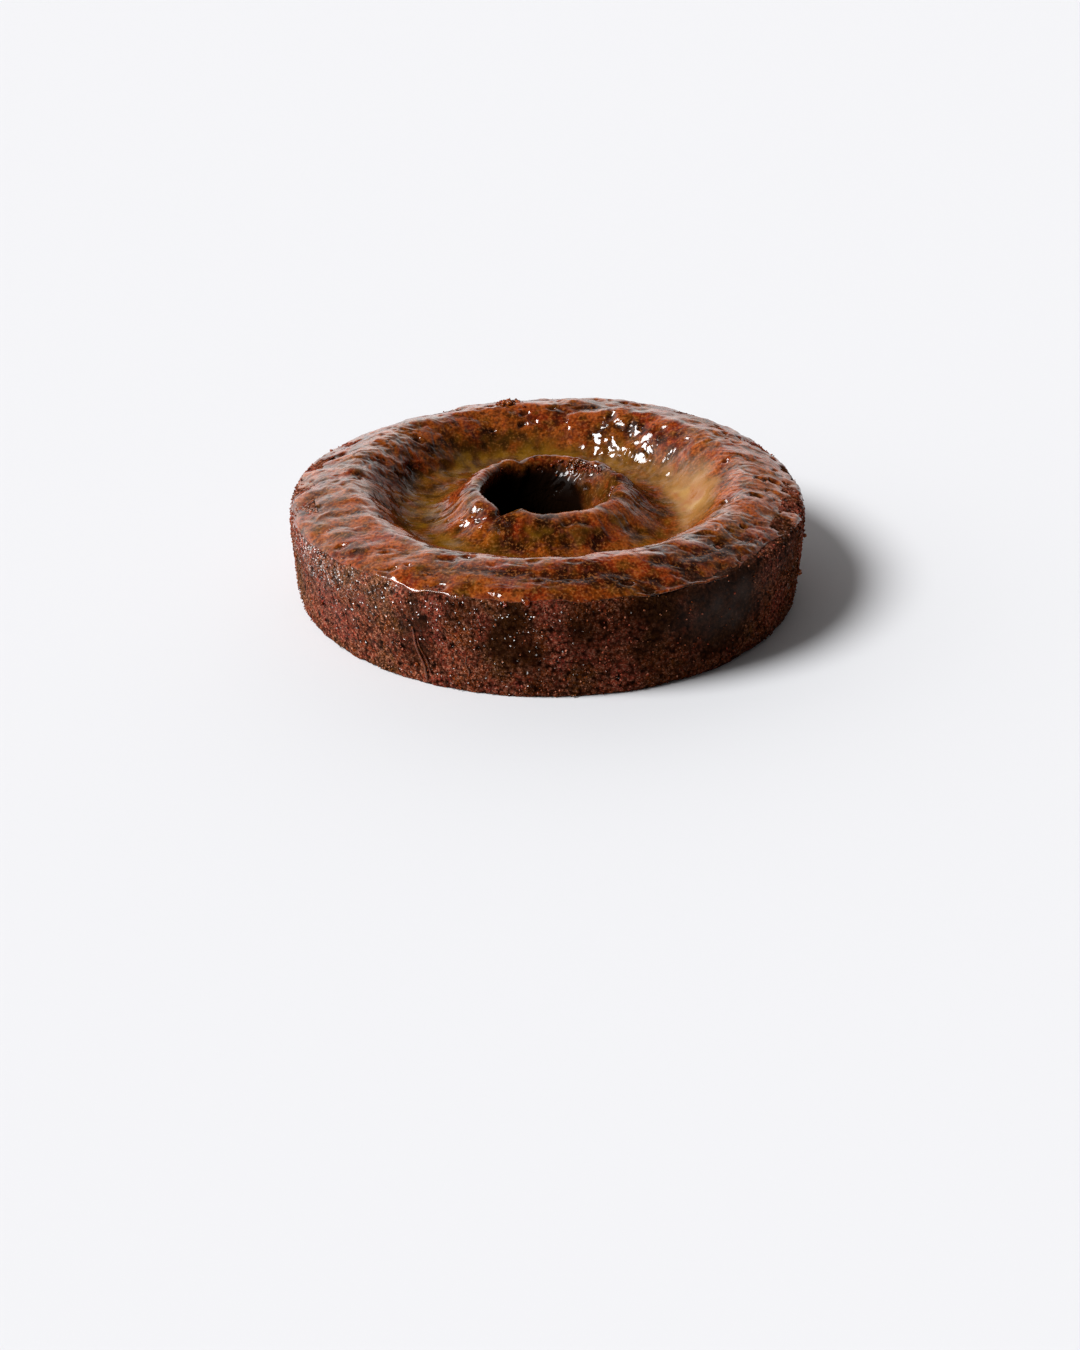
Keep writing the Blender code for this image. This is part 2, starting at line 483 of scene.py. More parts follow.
# %% Pits, ridges and plates
def pits(points, size, share, wide, seed):
    """Hollows with crisp rims: one in a share of the cells, as wide as its chance value says."""
    near, own = cells(points, size, seed)
    reach = wide * (0.6 + 0.8 * (own - 1 + share) / share)
    return (own > 1 - share) * ease(0, 0.75, 1 - near / np.maximum(reach, 0.02))


def ridges(points, size, seed):
    """Sharp winding ridges, 0 to 1: where smooth noise passes through zero."""
    return 1 - np.minimum(1, np.abs(noise(points, size, seed)) * 3.2)


def plates(points, size, seed):
    """Flat patches with steps between: noise times three, eased up at the end of each whole number."""
    level = noise(points, size, seed) * 3
    return (np.floor(level) + ease(0.55, 1, level - np.floor(level))) / 3


def stretched(points, share):
    """Points squeezed along X to a share, so that a pattern on them comes out drawn along X."""
    return points * np.array([share, 1, 1])


levels = plates(sample, 10, 0) * 3
flat_share = (np.abs(levels - levels.round()) < 0.01).mean()
print("of all places", round(100 * flat_share), "percent lie flat on a plate, the others on a step")

# %% [markdown]
# ### Places with a character of their own
# The front carries two shallow shelves, the rim is craggy on the right, crumb stands up like pebbles
# in a few spots, and a thick drop of toffee lies at the back right. Two stretches of the moat's wall
# are bumpy, and on the left and the front left the film lies so thick that it evens the crust out.

# %% Crust features
SHELVES = [
    (298, 34, 104, 4, 0.7), (272, 22, 111.5, 3.8, -0.8), (264, 26, 120.5, 3.4, 0.95),
    (312, 16, 110, 3, -0.7),
]
LIP_LEDGE = [(52, 24, 4.5, 3.5, -1), (52, 24, 12, 4, 1.2)]
CRAGGY = [(352, 34, 1.1), (30, 30, 0.7), (60, 24, 0.5), (172, 20, 0.35), (105, 40, 0.6)]
PEBBLE_PATCHES = [(38, 62, 12), (22, 26, 9), (60, 34, 9), (28, 66, 8), (50, 48, 7)]  # x, y, reach
THICK_DROP = (30, 70, 26)  # x, y, reach
BUMPY_WALL = [(142, 42, 0.9), (81, 13, 0.8)]
EVEN_FILM = [(208, 30, 0.45), (262, 20, 0.25)]
EVEN_HUB = [(184, 36, 0.6)]


def round_patch(points, x, y, reach):
    """A bell from 1 down to 0 round a place seen from above."""
    return np.exp(-((points[..., 0] - x) ** 2 + (points[..., 1] - y) ** 2) / reach ** 2)


def pebbles(points):
    """Patches where crumb stands up through the glaze."""
    return np.clip(sum(round_patch(points, *patch) for patch in PEBBLE_PATCHES), 0, 1)


def ledges(points, angle, path):
    """Shelves along the front of the rim, and a ledge inside the lip's back right, in mm."""
    below_lip = STATION[HUB_TOP] - LOOP - path
    return bells(SHELVES, angle, radius_of(points)) + bells(LIP_LEDGE, angle, below_lip)


def crust_zones(points, angle):
    """Where the crust is craggy, the moat's slope, the hub, bumpy and evened out, each 0 to 1."""
    radius = radius_of(points)
    craggy = ease(96, 110, radius) * swell(CRAGGY, angle)
    slope = between(68, 76, 90, 98, radius)
    hub = between(34, 40, 50, 58, radius)
    bumpy = between(66, 74, 100, 110, radius) * swell(BUMPY_WALL, angle)
    even = ease(84, 94, radius) * swell(EVEN_FILM, angle)
    even += (1 - ease(47, 56, radius)) * swell(EVEN_HUB, angle)
    return craggy, slope, hub, bumpy, even


print("shelf at the front right:", ledges(form(298, 5), 298, 5).round(2), "mm high")

# %% [markdown]
# ### Relief, depth and tone
# One function adds the layers up. It gives the height, how deep a place lies in a pit or crease,
# which the finish darkens partly as the crust's own colour and partly as painted shade, and a tone
# that says how pale the crust is there: at random, by patch, and by the relief, paler where it stands
# up and darker where it lies low, which is painted shade. A factor in front of a layer is its height in
# mm. The numbers inside its call start with its size in mm and end with its seed.

# %% Crust relief
TONE_PATCHES = [  # patches, and how much paler each is
    (10, 45, 55, 8, -0.3), (175, 30, 60, 7, -0.3), (280, 36, 112, 7, -0.5), (318, 18, 117, 9, -0.45),
    (285, 60, 101, 5, 0.1), (66, 36, 87, 4, -0.25), (165, 30, 82, 8, 0.2),
    (45, 22, 106, 10, -0.15), (185, 45, 42, 9, 0.2), (350, 24, 86, 7, 0.25), (5, 40, 110, 14, 0.35),
    (98, 36, 98, 9, 0.3), (210, 26, 103, 12, 0.2), (240, 14, 113, 7, 0.35), (328, 22, 48, 9, 0.3),
    (250, 24, 42, 8, -0.3), (332, 12, 104, 9, 0.3), (178, 16, 60, 6, -0.25), (285, 40, 46, 9, -0.15),
    (15, 45, 31, 5, -0.4), (130, 24, 78, 6, -0.15),
]
FLOW_RADIUS, DRAWN_OUT = 88, 3.5


def crust_relief(points, angle, path, pool):
    """Height of the crust in mm, how deep in a pit or crease it is, and its tone, both 0 to 1."""
    radius = radius_of(points)
    turn = np.radians(angle)
    warp = np.stack([noise(points, 6, 20 + k) for k in range(3)], -1)
    bent = points + 1.6 * warp
    across = stretched(bent, 0.55)
    flow = np.stack([FLOW_RADIUS * np.cos(turn), FLOW_RADIUS * np.sin(turn), path / DRAWN_OUT], -1) + warp
    craggy, slope, hub, bumpy, even = crust_zones(points, angle)
    thick = round_patch(points, *THICK_DROP)
    calm = (1 - 0.92 * pool) * (1 - 0.4 * thick) * (1 - even)

    broad = layered(across, 17, 2, 30)
    dents = noise(across, 8.5, 31)
    knobs = noise(bent, 5, 32)
    fine = noise(bent, 2.2, 33)
    runs = noise(flow, 3.4, 41)
    lobes = noise(flow * np.array([1, 1, 0.6]), 11, 44)
    height = ledges(points, angle, path) + 0.95 * broad + thick * 0.95 * noise(points, 6.5, 43)
    height += hub * 0.9 * lobes + pebbles(points) * 0.5 * noise(points, 2.8, 40)
    height += bells(GRITTY, angle, radius) * 0.6 * noise(points, 2, 48)
    height += calm * (0.6 * dents + 0.7 * plates(stretched(bent, 0.7), 11, 45) + 0.12 * knobs + 0.06 * fine)
    height += calm * 0.08 * ridges(stretched(bent, 0.3), 4.6, 42) ** 2
    height += calm * (slope * 0.16 * (1 - bumpy) + hub * 0.08) * runs
    height += calm * craggy * 0.3 * noise(bent, 4.6, 39)
    height += calm * bumpy * (0.45 * noise(bent, 3.4, 46) + 1.1 * noise(stretched(bent, 0.6), 7.5, 49))

    crease = ease(0.6, 1, ridges(across, 10, 36)) * ease(-0.1, 0.4, noise(points, 17, 37))
    small = pits(across, 7.5, 0.42, 0.34, 34)
    speck = pits(across, 3.4, 0.3, 0.30, 35)
    large = pits(bent, 8, 0.7, 0.30, 38) * craggy
    height -= calm * (small * 1.7 + speck * 0.5 + crease * 0.35 + large * 1.8)
    # pits and creases, which the finish darkens, partly as the crust's own colour and partly as painted shade
    deep = np.clip(calm * (small + 0.55 * speck + 0.3 * crease + large), 0, 1)

    # tone: random, by patch, and by the relief; the relief terms paint shade, darker where the crust lies low
    tone = 0.5 + bells(TONE_PATCHES, angle, radius) + 0.32 * dents + 0.25 * knobs + 0.15 * fine + 0.2 * broad
    tone += 0.45 * noise(bent, 9, 47) + 0.25 * (runs * slope + lobes * hub)
    tone += 0.5 * bumpy * noise(stretched(bent, 0.6), 7.5, 49)
    return height, deep, np.clip(tone, 0, 1)


front_relief, _, _ = crust_relief(form(270, 0), 270, 0, 0)
print("the crust stands", front_relief.round(2), "mm off the form on the crest at the front")


# %% [markdown]
# ### Two shells for one crust
# One shell fine enough for a 2 mm wrinkle would be too heavy, so the crust is a rim and a well that
# share one relief and one set of columns. Each runs a little past the joint on the same rows and
# sinks there by a hair, so the two surfaces cross in a line too shallow to see.

# %% Rows of the shells
JOINT = STATION[INNER_RIM] - LOOP
WELL_START = STATION[BORE_NECK] - 9 - LOOP
OVERLAP, SINK = 3, 0.05
EDGE_ROLL, EDGE_BELOW = 0.8, 3.6
COLUMNS, INNER_ROWS = 900, 7
LOW_EDGES = [(186, 22, 6.5), (150, 26, 5), (236, 22, 1.2), (330, 14, -4), (6, 26, 8), (95, 50, 4)]
shell_angles = np.linspace(0, 360, COLUMNS, endpoint=False)[None, :]


def edge_path(angle):
    """Where the glaze ends on the shoulder: a wavering line, lower where a run went over the edge."""
    turn = np.radians(angle)
    round_place = np.stack([np.cos(turn), np.sin(turn), 0 * angle], -1) * high[0]
    wander = layered(round_place, 24, 3, 80) * 1.6
    over = [(centre, 0.6 * half_width, 2.4 * strength) for centre, half_width, _, strength in RUNS]
    return STATION[SHOULDER] + EDGE_BELOW + swell(LOW_EDGES, angle) + wander + swell(over, angle)


def rows_between(start, end, count):
    """Rows of distances along the outline from start to end, with both ends, for every column."""
    return start + (end - start) * np.linspace(0, 1, count)[:, None] + 0 * shell_angles


lap_rows = rows_between(JOINT - OVERLAP, JOINT + OVERLAP, 9)
edge_rows = edge_path(shell_angles) - EDGE_ROLL * np.linspace(1, 0, 8)[:, None] ** 2
rim_rows = np.concatenate([lap_rows, rows_between(JOINT + OVERLAP, edge_rows[0], 84)[1:-1], edge_rows])
well_rows = np.concatenate([rows_between(WELL_START, JOINT - OVERLAP, 96)[:-1], lap_rows])
print("rim rows", len(rim_rows), "well rows", len(well_rows), "by", COLUMNS, "columns")

# %% [markdown]
# ### The shells themselves
# Outer rows lie on the form, lifted by film, relief and pool. The glaze is 0.65 mm thick and bedded
# 0.3 mm deep in the crumb. The rim's last rows roll over like a thick drop's edge, the well's first
# rows dive into the sponge, and the inner rows close each shell.

# %% Crust shells
SHELL_WALL = 2.7
GLAZE, BEDDED = 0.65, 0.30
FILM = GLAZE - BEDDED
EDGE_THINNER, EDGE_REACH = 0.12, 25
THIN_EDGE = [(345, 40, 0.35)]
DIVE, DIVE_REACH = 2.2, 5
POOL_DEPTH = 0.5


def sunk(past):
    """A hair's depth that grows evenly over the overlap of the two shells, by mm past the joint."""
    return SINK * np.clip((past + OVERLAP) / (2 * OVERLAP), 0, 1)


def rim_lift(angle, path, height):
    """Film and relief, down to a quarter circle at the glaze's edge, and sunk a hair at the joint."""
    to_end = edge_path(shell_angles) - path
    thick = GLAZE - (EDGE_THINNER + swell(THIN_EDGE, angle)) * (1 - ease(0, EDGE_REACH, to_end))
    rolled = np.sqrt(1 - (1 - np.clip(to_end / EDGE_ROLL, 0, 1)) ** 2)
    return thick * rolled - BEDDED + height * ease(0, 3, to_end) - sunk(JOINT - path)


def well_lift(angle, path, height):
    """Film and relief, diving into the sponge down the hole, and sunk a hair at the joint."""
    shown = ease(0, DIVE_REACH, path - WELL_START)
    return FILM + height * shown - DIVE * (1 - shown) - sunk(path - JOINT)


def crust_shell(name, outer, lift_ends):
    """Closed shell: its outer rows lie on the form, lifted by relief and pool; its inner ones run back."""
    path = np.concatenate([outer, rows_between(outer[-1] - 2, outer[0] + 1, INNER_ROWS)])
    angle = np.broadcast_to(shell_angles, path.shape)
    points = form(angle, path)
    pool = pooled(points, angle)
    height, deep, tone = crust_relief(points, angle, path, pool)
    is_outer = np.arange(len(path))[:, None] < len(outer)
    lift = np.where(is_outer, lift_ends(angle, path, height) + POOL_DEPTH * pool, -SHELL_WALL)
    placed = off_form(angle, path, lift)
    tan = pool * caramel(points, angle)
    clear = ease(-0.5, 0.6, layered(points, 8, 2, 76)) * ease(36, 42, radius_of(points))
    return ring_mesh(name, placed, deep=deep, tone=tone, wet=wetness(points, angle), pool=pool,
                     golden=pool * clear, caramel=tan, toffee=tan * clear, burnt=burnt(points, angle))


rim = crust_shell("rim_crust", rim_rows, rim_lift)
well = crust_shell("well_crust", well_rows, well_lift)

# %% [markdown]
# ## The sponge inside
# Seen down the hole and from underneath is plain sponge: a coarser shell, with its base flat where
# it stood in the tin, and its hidden top kept well below the glaze.

# %% Sponge core
CORE_COLUMNS = 640
UNDER_SKINS = 2.2


def sponge_core():
    """Closed shell of the whole form: flat base, pored hole, top and side sunk under their skins."""
    parts = ((0, STATION[CORNER], 18), (STATION[CORNER], STATION[BORE_FOOT], 40),
             (STATION[BORE_FOOT], STATION[HUB_TOP - 1], 56), (STATION[HUB_TOP - 1], LOOP, 24))
    rows = np.concatenate([np.linspace(start, end, count, endpoint=False) for start, end, count in parts])
    path, angle = np.meshgrid(rows, np.linspace(0, 360, CORE_COLUMNS, endpoint=False), indexing="ij")
    points = form(angle, path)
    height, pore = crumb_relief(points, np.zeros(path.shape))
    in_bore = (path > STATION[BORE_FOOT]) & (path < STATION[HUB_TOP - 1])
    on_base = (path >= STATION[CORNER]) & (path <= STATION[BORE_FOOT])
    lift = np.where(in_bore, height - 0.2, np.where(on_base, -0.2 - np.clip(-height, 0, 1), -UNDER_SKINS))
    placed = off_form(angle, path, lift)
    placed[..., 2] = np.maximum(placed[..., 2], 0.2)
    return ring_mesh("sponge_core", placed, soak=np.full(path.shape, 0.15), pore=pore,
                     burnt=burnt(points, angle))


core = sponge_core()

# %% [markdown]
# ## Crumbs
# Unmoulding drags crumbs out of the side. Each is a small lump with twelve corners, pushed about so
# that no two match. Copies of one object would be lighter in memory, but joined into one mesh they
# travel with the model. Thousands share one array sum: a unit lump times each crumb's own stretch
# and turn, plus its place.

# %% A heap of crumbs
def lump_corners():
    """An icosahedron's twelve corners, those of three golden rectangles, and its twenty faces."""
    gold = (1 + 5 ** 0.5) / 2
    rectangle = np.array([(-1, gold, 0), (1, gold, 0), (-1, -gold, 0), (1, -gold, 0)])
    corner = np.concatenate([np.roll(rectangle, shift, axis=1) for shift in range(3)])
    face = np.array([(0, 11, 5), (0, 5, 1), (0, 1, 7), (0, 7, 10), (0, 10, 11),
                     (1, 5, 9), (5, 11, 4), (11, 10, 2), (10, 7, 6), (7, 1, 8),
                     (3, 9, 4), (3, 4, 2), (3, 2, 6), (3, 6, 8), (3, 8, 9),
                     (4, 9, 5), (2, 4, 11), (6, 2, 10), (8, 6, 7), (9, 8, 1)])
    return corner / np.linalg.norm(corner[0]), face


def crumb_heap(name, places, sizes, seed, values):
    """One mesh of many lumps: unit corners, jittered, stretched, turned at random and set in place."""
    draw = np.random.default_rng(seed)
    corner, face = lump_corners()
    count = len(places)
    lumps = corner[None] * (1 + draw.uniform(-0.3, 0.3, (count, 12, 1)))
    lumps = lumps * draw.uniform(0.7, 1.25, (count, 1, 3)) * sizes[:, None, None] / 2
    turns = np.linalg.qr(draw.normal(size=(count, 3, 3)))[0]
    turns *= np.sign(np.linalg.det(turns))[:, None, None]
    lumps = np.einsum("nij,nkj->nki", turns, lumps) + places[:, None]
    faces = face[None] + 12 * np.arange(count)[:, None, None]
    own = np.repeat(draw.uniform(0.5, 1.5, count), 12)
    values = {key: np.clip(value * own, 0, 1) for key, value in values.items()}
    return vertex_mesh(name, lumps.reshape(-1, 3), faces.reshape(-1, 3), values)


print("each lump has", len(lump_corners()[1]), "faces")

# %% [markdown]
# ### Crumbs that cling to the side
# Most are fine as sand, and they keep away from the runs of sauce, which washed them off.

# %% Clinging crumbs
CRUMB_COUNT = 6500
SMALLEST, LARGEST = 0.5, 1.7


def clinging_crumbs():
    """Crumbs scattered over the side, fewer where sauce ran, sunk by part of their size."""
    draw = np.random.default_rng(5)
    angle = draw.uniform(0, 360, CRUMB_COUNT)
    path = draw.uniform(STATION[SHOULDER] + 3, STATION[CORNER] - 1.5, CRUMB_COUNT)
    keep = draw.uniform(0, 1, CRUMB_COUNT) > soaked(form(angle, path), angle) * 0.9
    angle, path = angle[keep], path[keep]
    sizes = np.clip(draw.lognormal(-0.3, 0.3, len(angle)), SMALLEST, LARGEST)
    places = off_form(angle, path, sizes * 0.22)
    places[:, 2] = np.maximum(places[:, 2], sizes * 0.75)
    return crumb_heap("side_crumbs", places, sizes, 6, {"soak": 0, "pore": 0.25, "glint": 0.1})


crumbs = clinging_crumbs()

# %% [markdown]
# ### Crumbs that stand out
# A little heap sits on the back of the rim's crest, and a few large crumbs hang on the side. They
# break the outline, which tells the eye that this is baked and not cast.

# %% Heap on the crest and large crumbs
HEAP_ANGLE, HEAP_COUNT = 102, 34
LARGE_CRUMBS = np.array([  # angle, height, size
    (347, 18, 3.8), (212, 20, 2.6), (352, 33, 2.4), (130, 12, 3.4), (60, 25, 2.8),
])


def side_path(height):
    """Distance along the outline where the outer side is at a height, read back from the outline."""
    outer = (PATH > STATION[SHOULDER]) & (PATH < STATION[CORNER])
    return np.interp(-height, -curve[outer, 1], PATH[outer])


def crest_crumbs():
    """A heap of crumbs thrown round one angle of the crest, highest in its middle, and a few large ones."""
    draw = np.random.default_rng(8)
    angle = HEAP_ANGLE + draw.normal(0, 2, HEAP_COUNT)
    path = STATION[0] + 1 + draw.normal(0, 2.5, HEAP_COUNT)
    sizes = draw.uniform(1.2, 3.2, HEAP_COUNT)
    rise = 0.6 + 1.5 * np.exp(-((angle - HEAP_ANGLE) / 1.6) ** 2) * draw.uniform(0, 1, HEAP_COUNT)
    angle = np.concatenate([angle, LARGE_CRUMBS[:, 0]])
    path = np.concatenate([path, side_path(LARGE_CRUMBS[:, 1])])
    sizes = np.concatenate([sizes, LARGE_CRUMBS[:, 2]])
    rise = np.concatenate([rise, np.full(len(LARGE_CRUMBS), 0.8)])
    return crumb_heap("crest_crumbs", off_form(angle, path, rise), sizes, 9, {"wet": 0.4, "tone": 0.75})


loose = crest_crumbs()

# %% [markdown]
# ### Wet crumb inside the lip
# At the back right of the hole the glaze is too thin to hide the crumb, so it glitters like gravel.
# These lumps are glazed, and half sunk in the crust.

# %% Lip crumbs
LIP_GROUPS = [  # angle, spread, nearest and farthest below the lip, smallest and largest, how many
    (56, 13, 3.5, 12, 0.9, 2, 90), (357, 3, 3, 8, 1.5, 3, 9),
]


def lip_crumbs():
    """Groups of lumps: angles thrown round a middle, distances and sizes spread evenly."""
    draw = np.random.default_rng(12)
    angle, path, sizes = [], [], []
    for centre, spread, nearest, farthest, smallest, largest, count in LIP_GROUPS:
        angle.append(draw.normal(centre, spread, count))
        path.append(STATION[HUB_TOP] - LOOP - draw.uniform(nearest, farthest, count))
        sizes.append(draw.uniform(smallest, largest, count))
    angle, path, sizes = np.concatenate(angle), np.concatenate(path), np.concatenate(sizes)
    return crumb_heap("lip_crumbs", off_form(angle, path, 0.1 * sizes), sizes, 13, {"wet": 1, "tone": 0.4})


pebbled = lip_crumbs()

# %% [markdown]
# ## Toffee drips
# Where sauce ran it left a few raised strands that end in a drop. A curve with a bevel would do, but
# it can't lie on the settled side, so each strand is rings of points carried along a line on the form.

# %% Toffee drips
DRIPS = [  # top angle and height, foot angle and height, half width, how proud, all in degrees and mm
    (240.2, 30, 243.6, 3, 0.8, 0.9), (241.6, 24, 244.9, 6, 0.4, 0.8), (252.5, 20, 253.2, 9, 0.45, 0.8),
    (265, 50, 265.4, 46.6, 2.2, 1.1), (261, 47.6, 261.2, 45.4, 0.8, 0.9),
    (20, 40, 18.5, 18, 0.8, 1), (97, 46, 98, 24, 0.8, 1), (150, 45, 148.6, 12, 0.7, 1),
]
RING, ALONG = 12, 40


def strand(angle, path, width, proud):
    """Points and triangles of one strand: an ellipse across each place on its line, a pole at each end."""
    turn = np.linspace(0, 2 * np.pi, RING, endpoint=False)
    centre = form(angle, path)
    out = form_normal(angle, path)
    sideways = np.cross(out, np.gradient(centre, axis=0))
    sideways /= np.linalg.norm(sideways, axis=-1, keepdims=True)
    lifted = centre + 0.2 * out
    across = sideways[:, None] * np.cos(turn)[:, None] * width[:, None, None]
    rings = lifted[:, None] + across + out[:, None] * np.sin(turn)[:, None] * proud[:, None, None]
    points = np.concatenate([lifted[:1], rings[1:-1].reshape(-1, 3), lifted[-1:]])
    here = 1 + np.arange((len(angle) - 2) * RING).reshape(-1, RING)
    beside = np.roll(here, -1, axis=1)
    half = np.stack([here[:-1], beside[:-1], beside[1:]], -1).reshape(-1, 3)
    other_half = np.stack([here[:-1], beside[1:], here[1:]], -1).reshape(-1, 3)
    first = np.stack([beside[0], here[0], 0 * here[0]], -1)
    last = np.stack([here[-1], beside[-1], 0 * here[-1] + len(points) - 1], -1)
    return points, np.concatenate([first, half, other_half, last])


def toffee_drips():
    """Strands down the side: each is thin, wanders by a sine, and swells to a drop at its foot."""
    all_points, all_faces, count = [], [], 0
    way = np.linspace(0, 1, ALONG)
    shape = (4 * way * (1 - way)) ** 0.25 * (0.75 + 0.5 * way ** 6)
    for top_angle, top, foot_angle, foot, width, proud in DRIPS:
        angle = top_angle + (foot_angle - top_angle) * way + 0.25 * np.sin(way * 9 + top_angle)
        points, faces = strand(angle, side_path(top + (foot - top) * way), width * shape, proud * shape)
        all_points.append(points)
        all_faces.append(faces + count)
        count += len(points)
    wet = np.ones(count)
    return vertex_mesh("toffee_drips", np.concatenate(all_points), np.concatenate(all_faces),
                       {"wet": wet, "tone": 0.5 * wet})


drips = toffee_drips()

# %% [markdown]
# ## Finishes
# Food has no flat colour. Each finish below starts from one colour and lays others over it, each
# where some source is strong: noise of a real size, or a value kept on the vertices. Colours are
# given as they look on screen and turned to linear light once.

# %% Colour and node helpers
MIX_A, MIX_B, MIX_OUT = 6, 7, 2


def linear(code):
    """sRGB hex to linear red, green, blue and alpha: the standard curve, channel by channel."""
    parts = [int(code[i:i + 2], 16) / 255 for i in (1, 3, 5)]
    return [p / 12.92 if p <= 0.04045 else ((p + 0.055) / 1.055) ** 2.4 for p in parts] + [1.0]


def node(tree, kind, settings, links=None):
    """Add one ShaderNode of a kind. Settings name properties or sockets, and links join sockets to
    outputs, or to the first output of a node."""
    made = tree.nodes.new("ShaderNode" + kind)
    for key, value in settings.items():
        if isinstance(key, int) or key in made.inputs:
            made.inputs[key].default_value = value
        else:
            setattr(made, key, value)
    for key, source in (links or {}).items():
        output = source.outputs[0] if isinstance(source, bpy.types.Node) else source
        tree.links.new(output, made.inputs[key])
    return made


def finish(name):
    """A material with an empty node tree, and the tree's object coordinates."""
    material = bpy.data.materials.new(name)
    material.use_nodes = True
    tree = material.node_tree
    tree.nodes.clear()
    return material, tree, node(tree, "TexCoord", {}).outputs["Object"]


def sources(tree, place, sizes, names):
    """What a finish is mixed from: noises by their size in mm, and values kept on the vertices by name."""
    grain = {size: node(tree, "TexNoise", {"Scale": 1 / (size * MM), "Detail": 3.0}, {"Vector": place})
             for size in sizes}
    own = {name: node(tree, "Attribute", {"attribute_name": name}).outputs["Fac"] for name in names}
    return grain, own


def laid_over(tree, base, layers):
    """Colour output: base, then each layer (source, from, to, most, colour) mixed in, by up to most."""
    under, links = {MIX_A: linear(base)}, {}
    for source, start, end, most, code in layers:
        share = node(tree, "MapRange", {"From Min": start, "From Max": end, "To Max": most},
                     {"Value": source})
        mix = node(tree, "Mix", {"data_type": "RGBA", MIX_B: linear(code), **under}, {0: share, **links})
        under, links = {}, {MIX_A: mix.outputs[MIX_OUT]}
    return mix.outputs[MIX_OUT]


def coated(tree, colour, roughness, index, skin, film, weight):
    """Close a finish: matt body of a colour on the skin's slopes, and a clear coat on the film's."""
    shader = node(tree, "BsdfPrincipled",
                  {"Roughness": roughness, "IOR": index, "Specular IOR Level": 0.0,
                   "Coat Roughness": 0.08, "Coat IOR": 1.5},
                  {"Base Color": colour, "Normal": skin, "Coat Normal": film, "Coat Weight": weight})
    node(tree, "OutputMaterial", {}, {"Surface": shader})


print("caramel in linear light", [round(part, 3) for part in linear("#9c7440")])

# %% [markdown]
# ### Toffee-glazed crust
# Browned sponge skin soaked with toffee, under a clear film of it. The skin is chestnut to nearly
# black, matt by itself. The film is a coat layer: it mirrors the window in broken white flakes, and
# where a flat place faces the pale wall it veils the brown with grey. That is what looks sticky.

# %% Glazed crust finish
def toffee_glaze():
    """Matt browned skin in layers of colour, under a clear coat with faint ripples of its own."""
    material, tree, place = finish("toffee_glaze_on_crust")
    grain, own = sources(tree, place, (24, 7, 4, 1.3),
                         ("deep", "tone", "wet", "pool", "golden", "caramel", "toffee", "burnt"))
    colour = laid_over(tree, "#7a280a", [
        (grain[24], 0.42, 0.58, 1.0, "#723606"),
        (grain[7], 0.5, 0.64, 0.6, "#543c0a"),
        # tone: paler and darker brown; the part that follows the relief is painted shade in the hollows
        (own["tone"], 0.5, 1.0, 0.75, "#a04c1c"),
        (own["tone"], 0.5, 0.05, 0.95, "#1a0703"),
        (grain[1.3], 0.53, 0.68, 0.4, "#a85c28"),
        (grain[4], 0.54, 0.64, 0.45, "#5c2a1e"),
        (grain[4], 0.46, 0.34, 0.5, "#280a03"),
        (grain[1.3], 0.5, 0.36, 0.5, "#1c0804"),
        # pits and creases: partly the crust's own darker colour, partly painted shade
        (own["deep"], 0.0, 1.0, 1.0, "#220b03"),
        (own["pool"], 0.0, 1.0, 1.0, "#4e2f08"),
        (own["golden"], 0.0, 1.0, 1.0, "#745010"),
        (grain[4], 0.46, 0.34, 0.4, "#2c1405"),
        (grain[1.3], 0.54, 0.68, 0.14, "#9a7a48"),
        (own["caramel"], 0.0, 1.0, 1.0, "#9c7440"),
        (own["toffee"], 0.0, 1.0, 1.0, "#8e5a30"),
        # painted shade down the hole, and the darker back left wall of the moat
        (own["burnt"], 0.0, 1.0, 1.0, "#0e0603"),
    ])
    skin = node(tree, "Bump", {"Strength": 0.5, "Distance": 0.5 * MM}, {"Height": grain[1.3]})
    film = node(tree, "Bump", {"Strength": 0.15, "Distance": 0.5 * MM}, {"Height": grain[1.3]})
    coated(tree, colour, 0.7, 1.45, skin, film, own["wet"])
    return material


glaze_finish = toffee_glaze()
print(glaze_finish.name, "has", len(glaze_finish.node_tree.nodes), "nodes")

# %% [markdown]
# ### Date sponge crumb
# Dark moist sponge, reddish where dry, and olive-black where toffee soaked in and in the side's
# darker stretches. Real grains are far finer, and are drawn at 0.6 mm so that they show. Each grain
# is a facet with its own tilt; a few are damp, with a clear coat, and a few are painted pale as
# glints, so the side glitters in points and not in bands.

# %% Sponge crumb finish
DRAWN_GRAIN = 0.6


def damp_grains(tree, grains, parts, own):
    """Weight and normal of the coat on chosen grains: those whose chance value plus glint is high."""
    luck = node(tree, "Math", {"operation": "ADD"}, {0: own["glint"], 1: parts["Blue"]})
    chosen = node(tree, "MapRange", {"From Min": 0.93, "From Max": 1.03, "To Max": 0.9}, {"Value": luck})
    shallow = node(tree, "Math", {"operation": "SUBTRACT", 0: 1.0}, {1: own["burnt"]})
    weight = node(tree, "Math", {"operation": "MULTIPLY"}, {0: shallow, 1: chosen})
    lean = node(tree, "VectorMath", {"operation": "SUBTRACT", 1: (0.5, 0.5, 0.22)}, {0: grains})
    tilt = node(tree, "VectorMath", {"operation": "SCALE", "Scale": 2.2}, {0: lean})
    facing = node(tree, "NewGeometry", {}).outputs["Normal"]
    leaning = node(tree, "VectorMath", {"operation": "ADD"}, {0: tilt, 1: facing})
    facet = node(tree, "VectorMath", {"operation": "NORMALIZE"}, {0: leaning})
    return luck, weight, facet


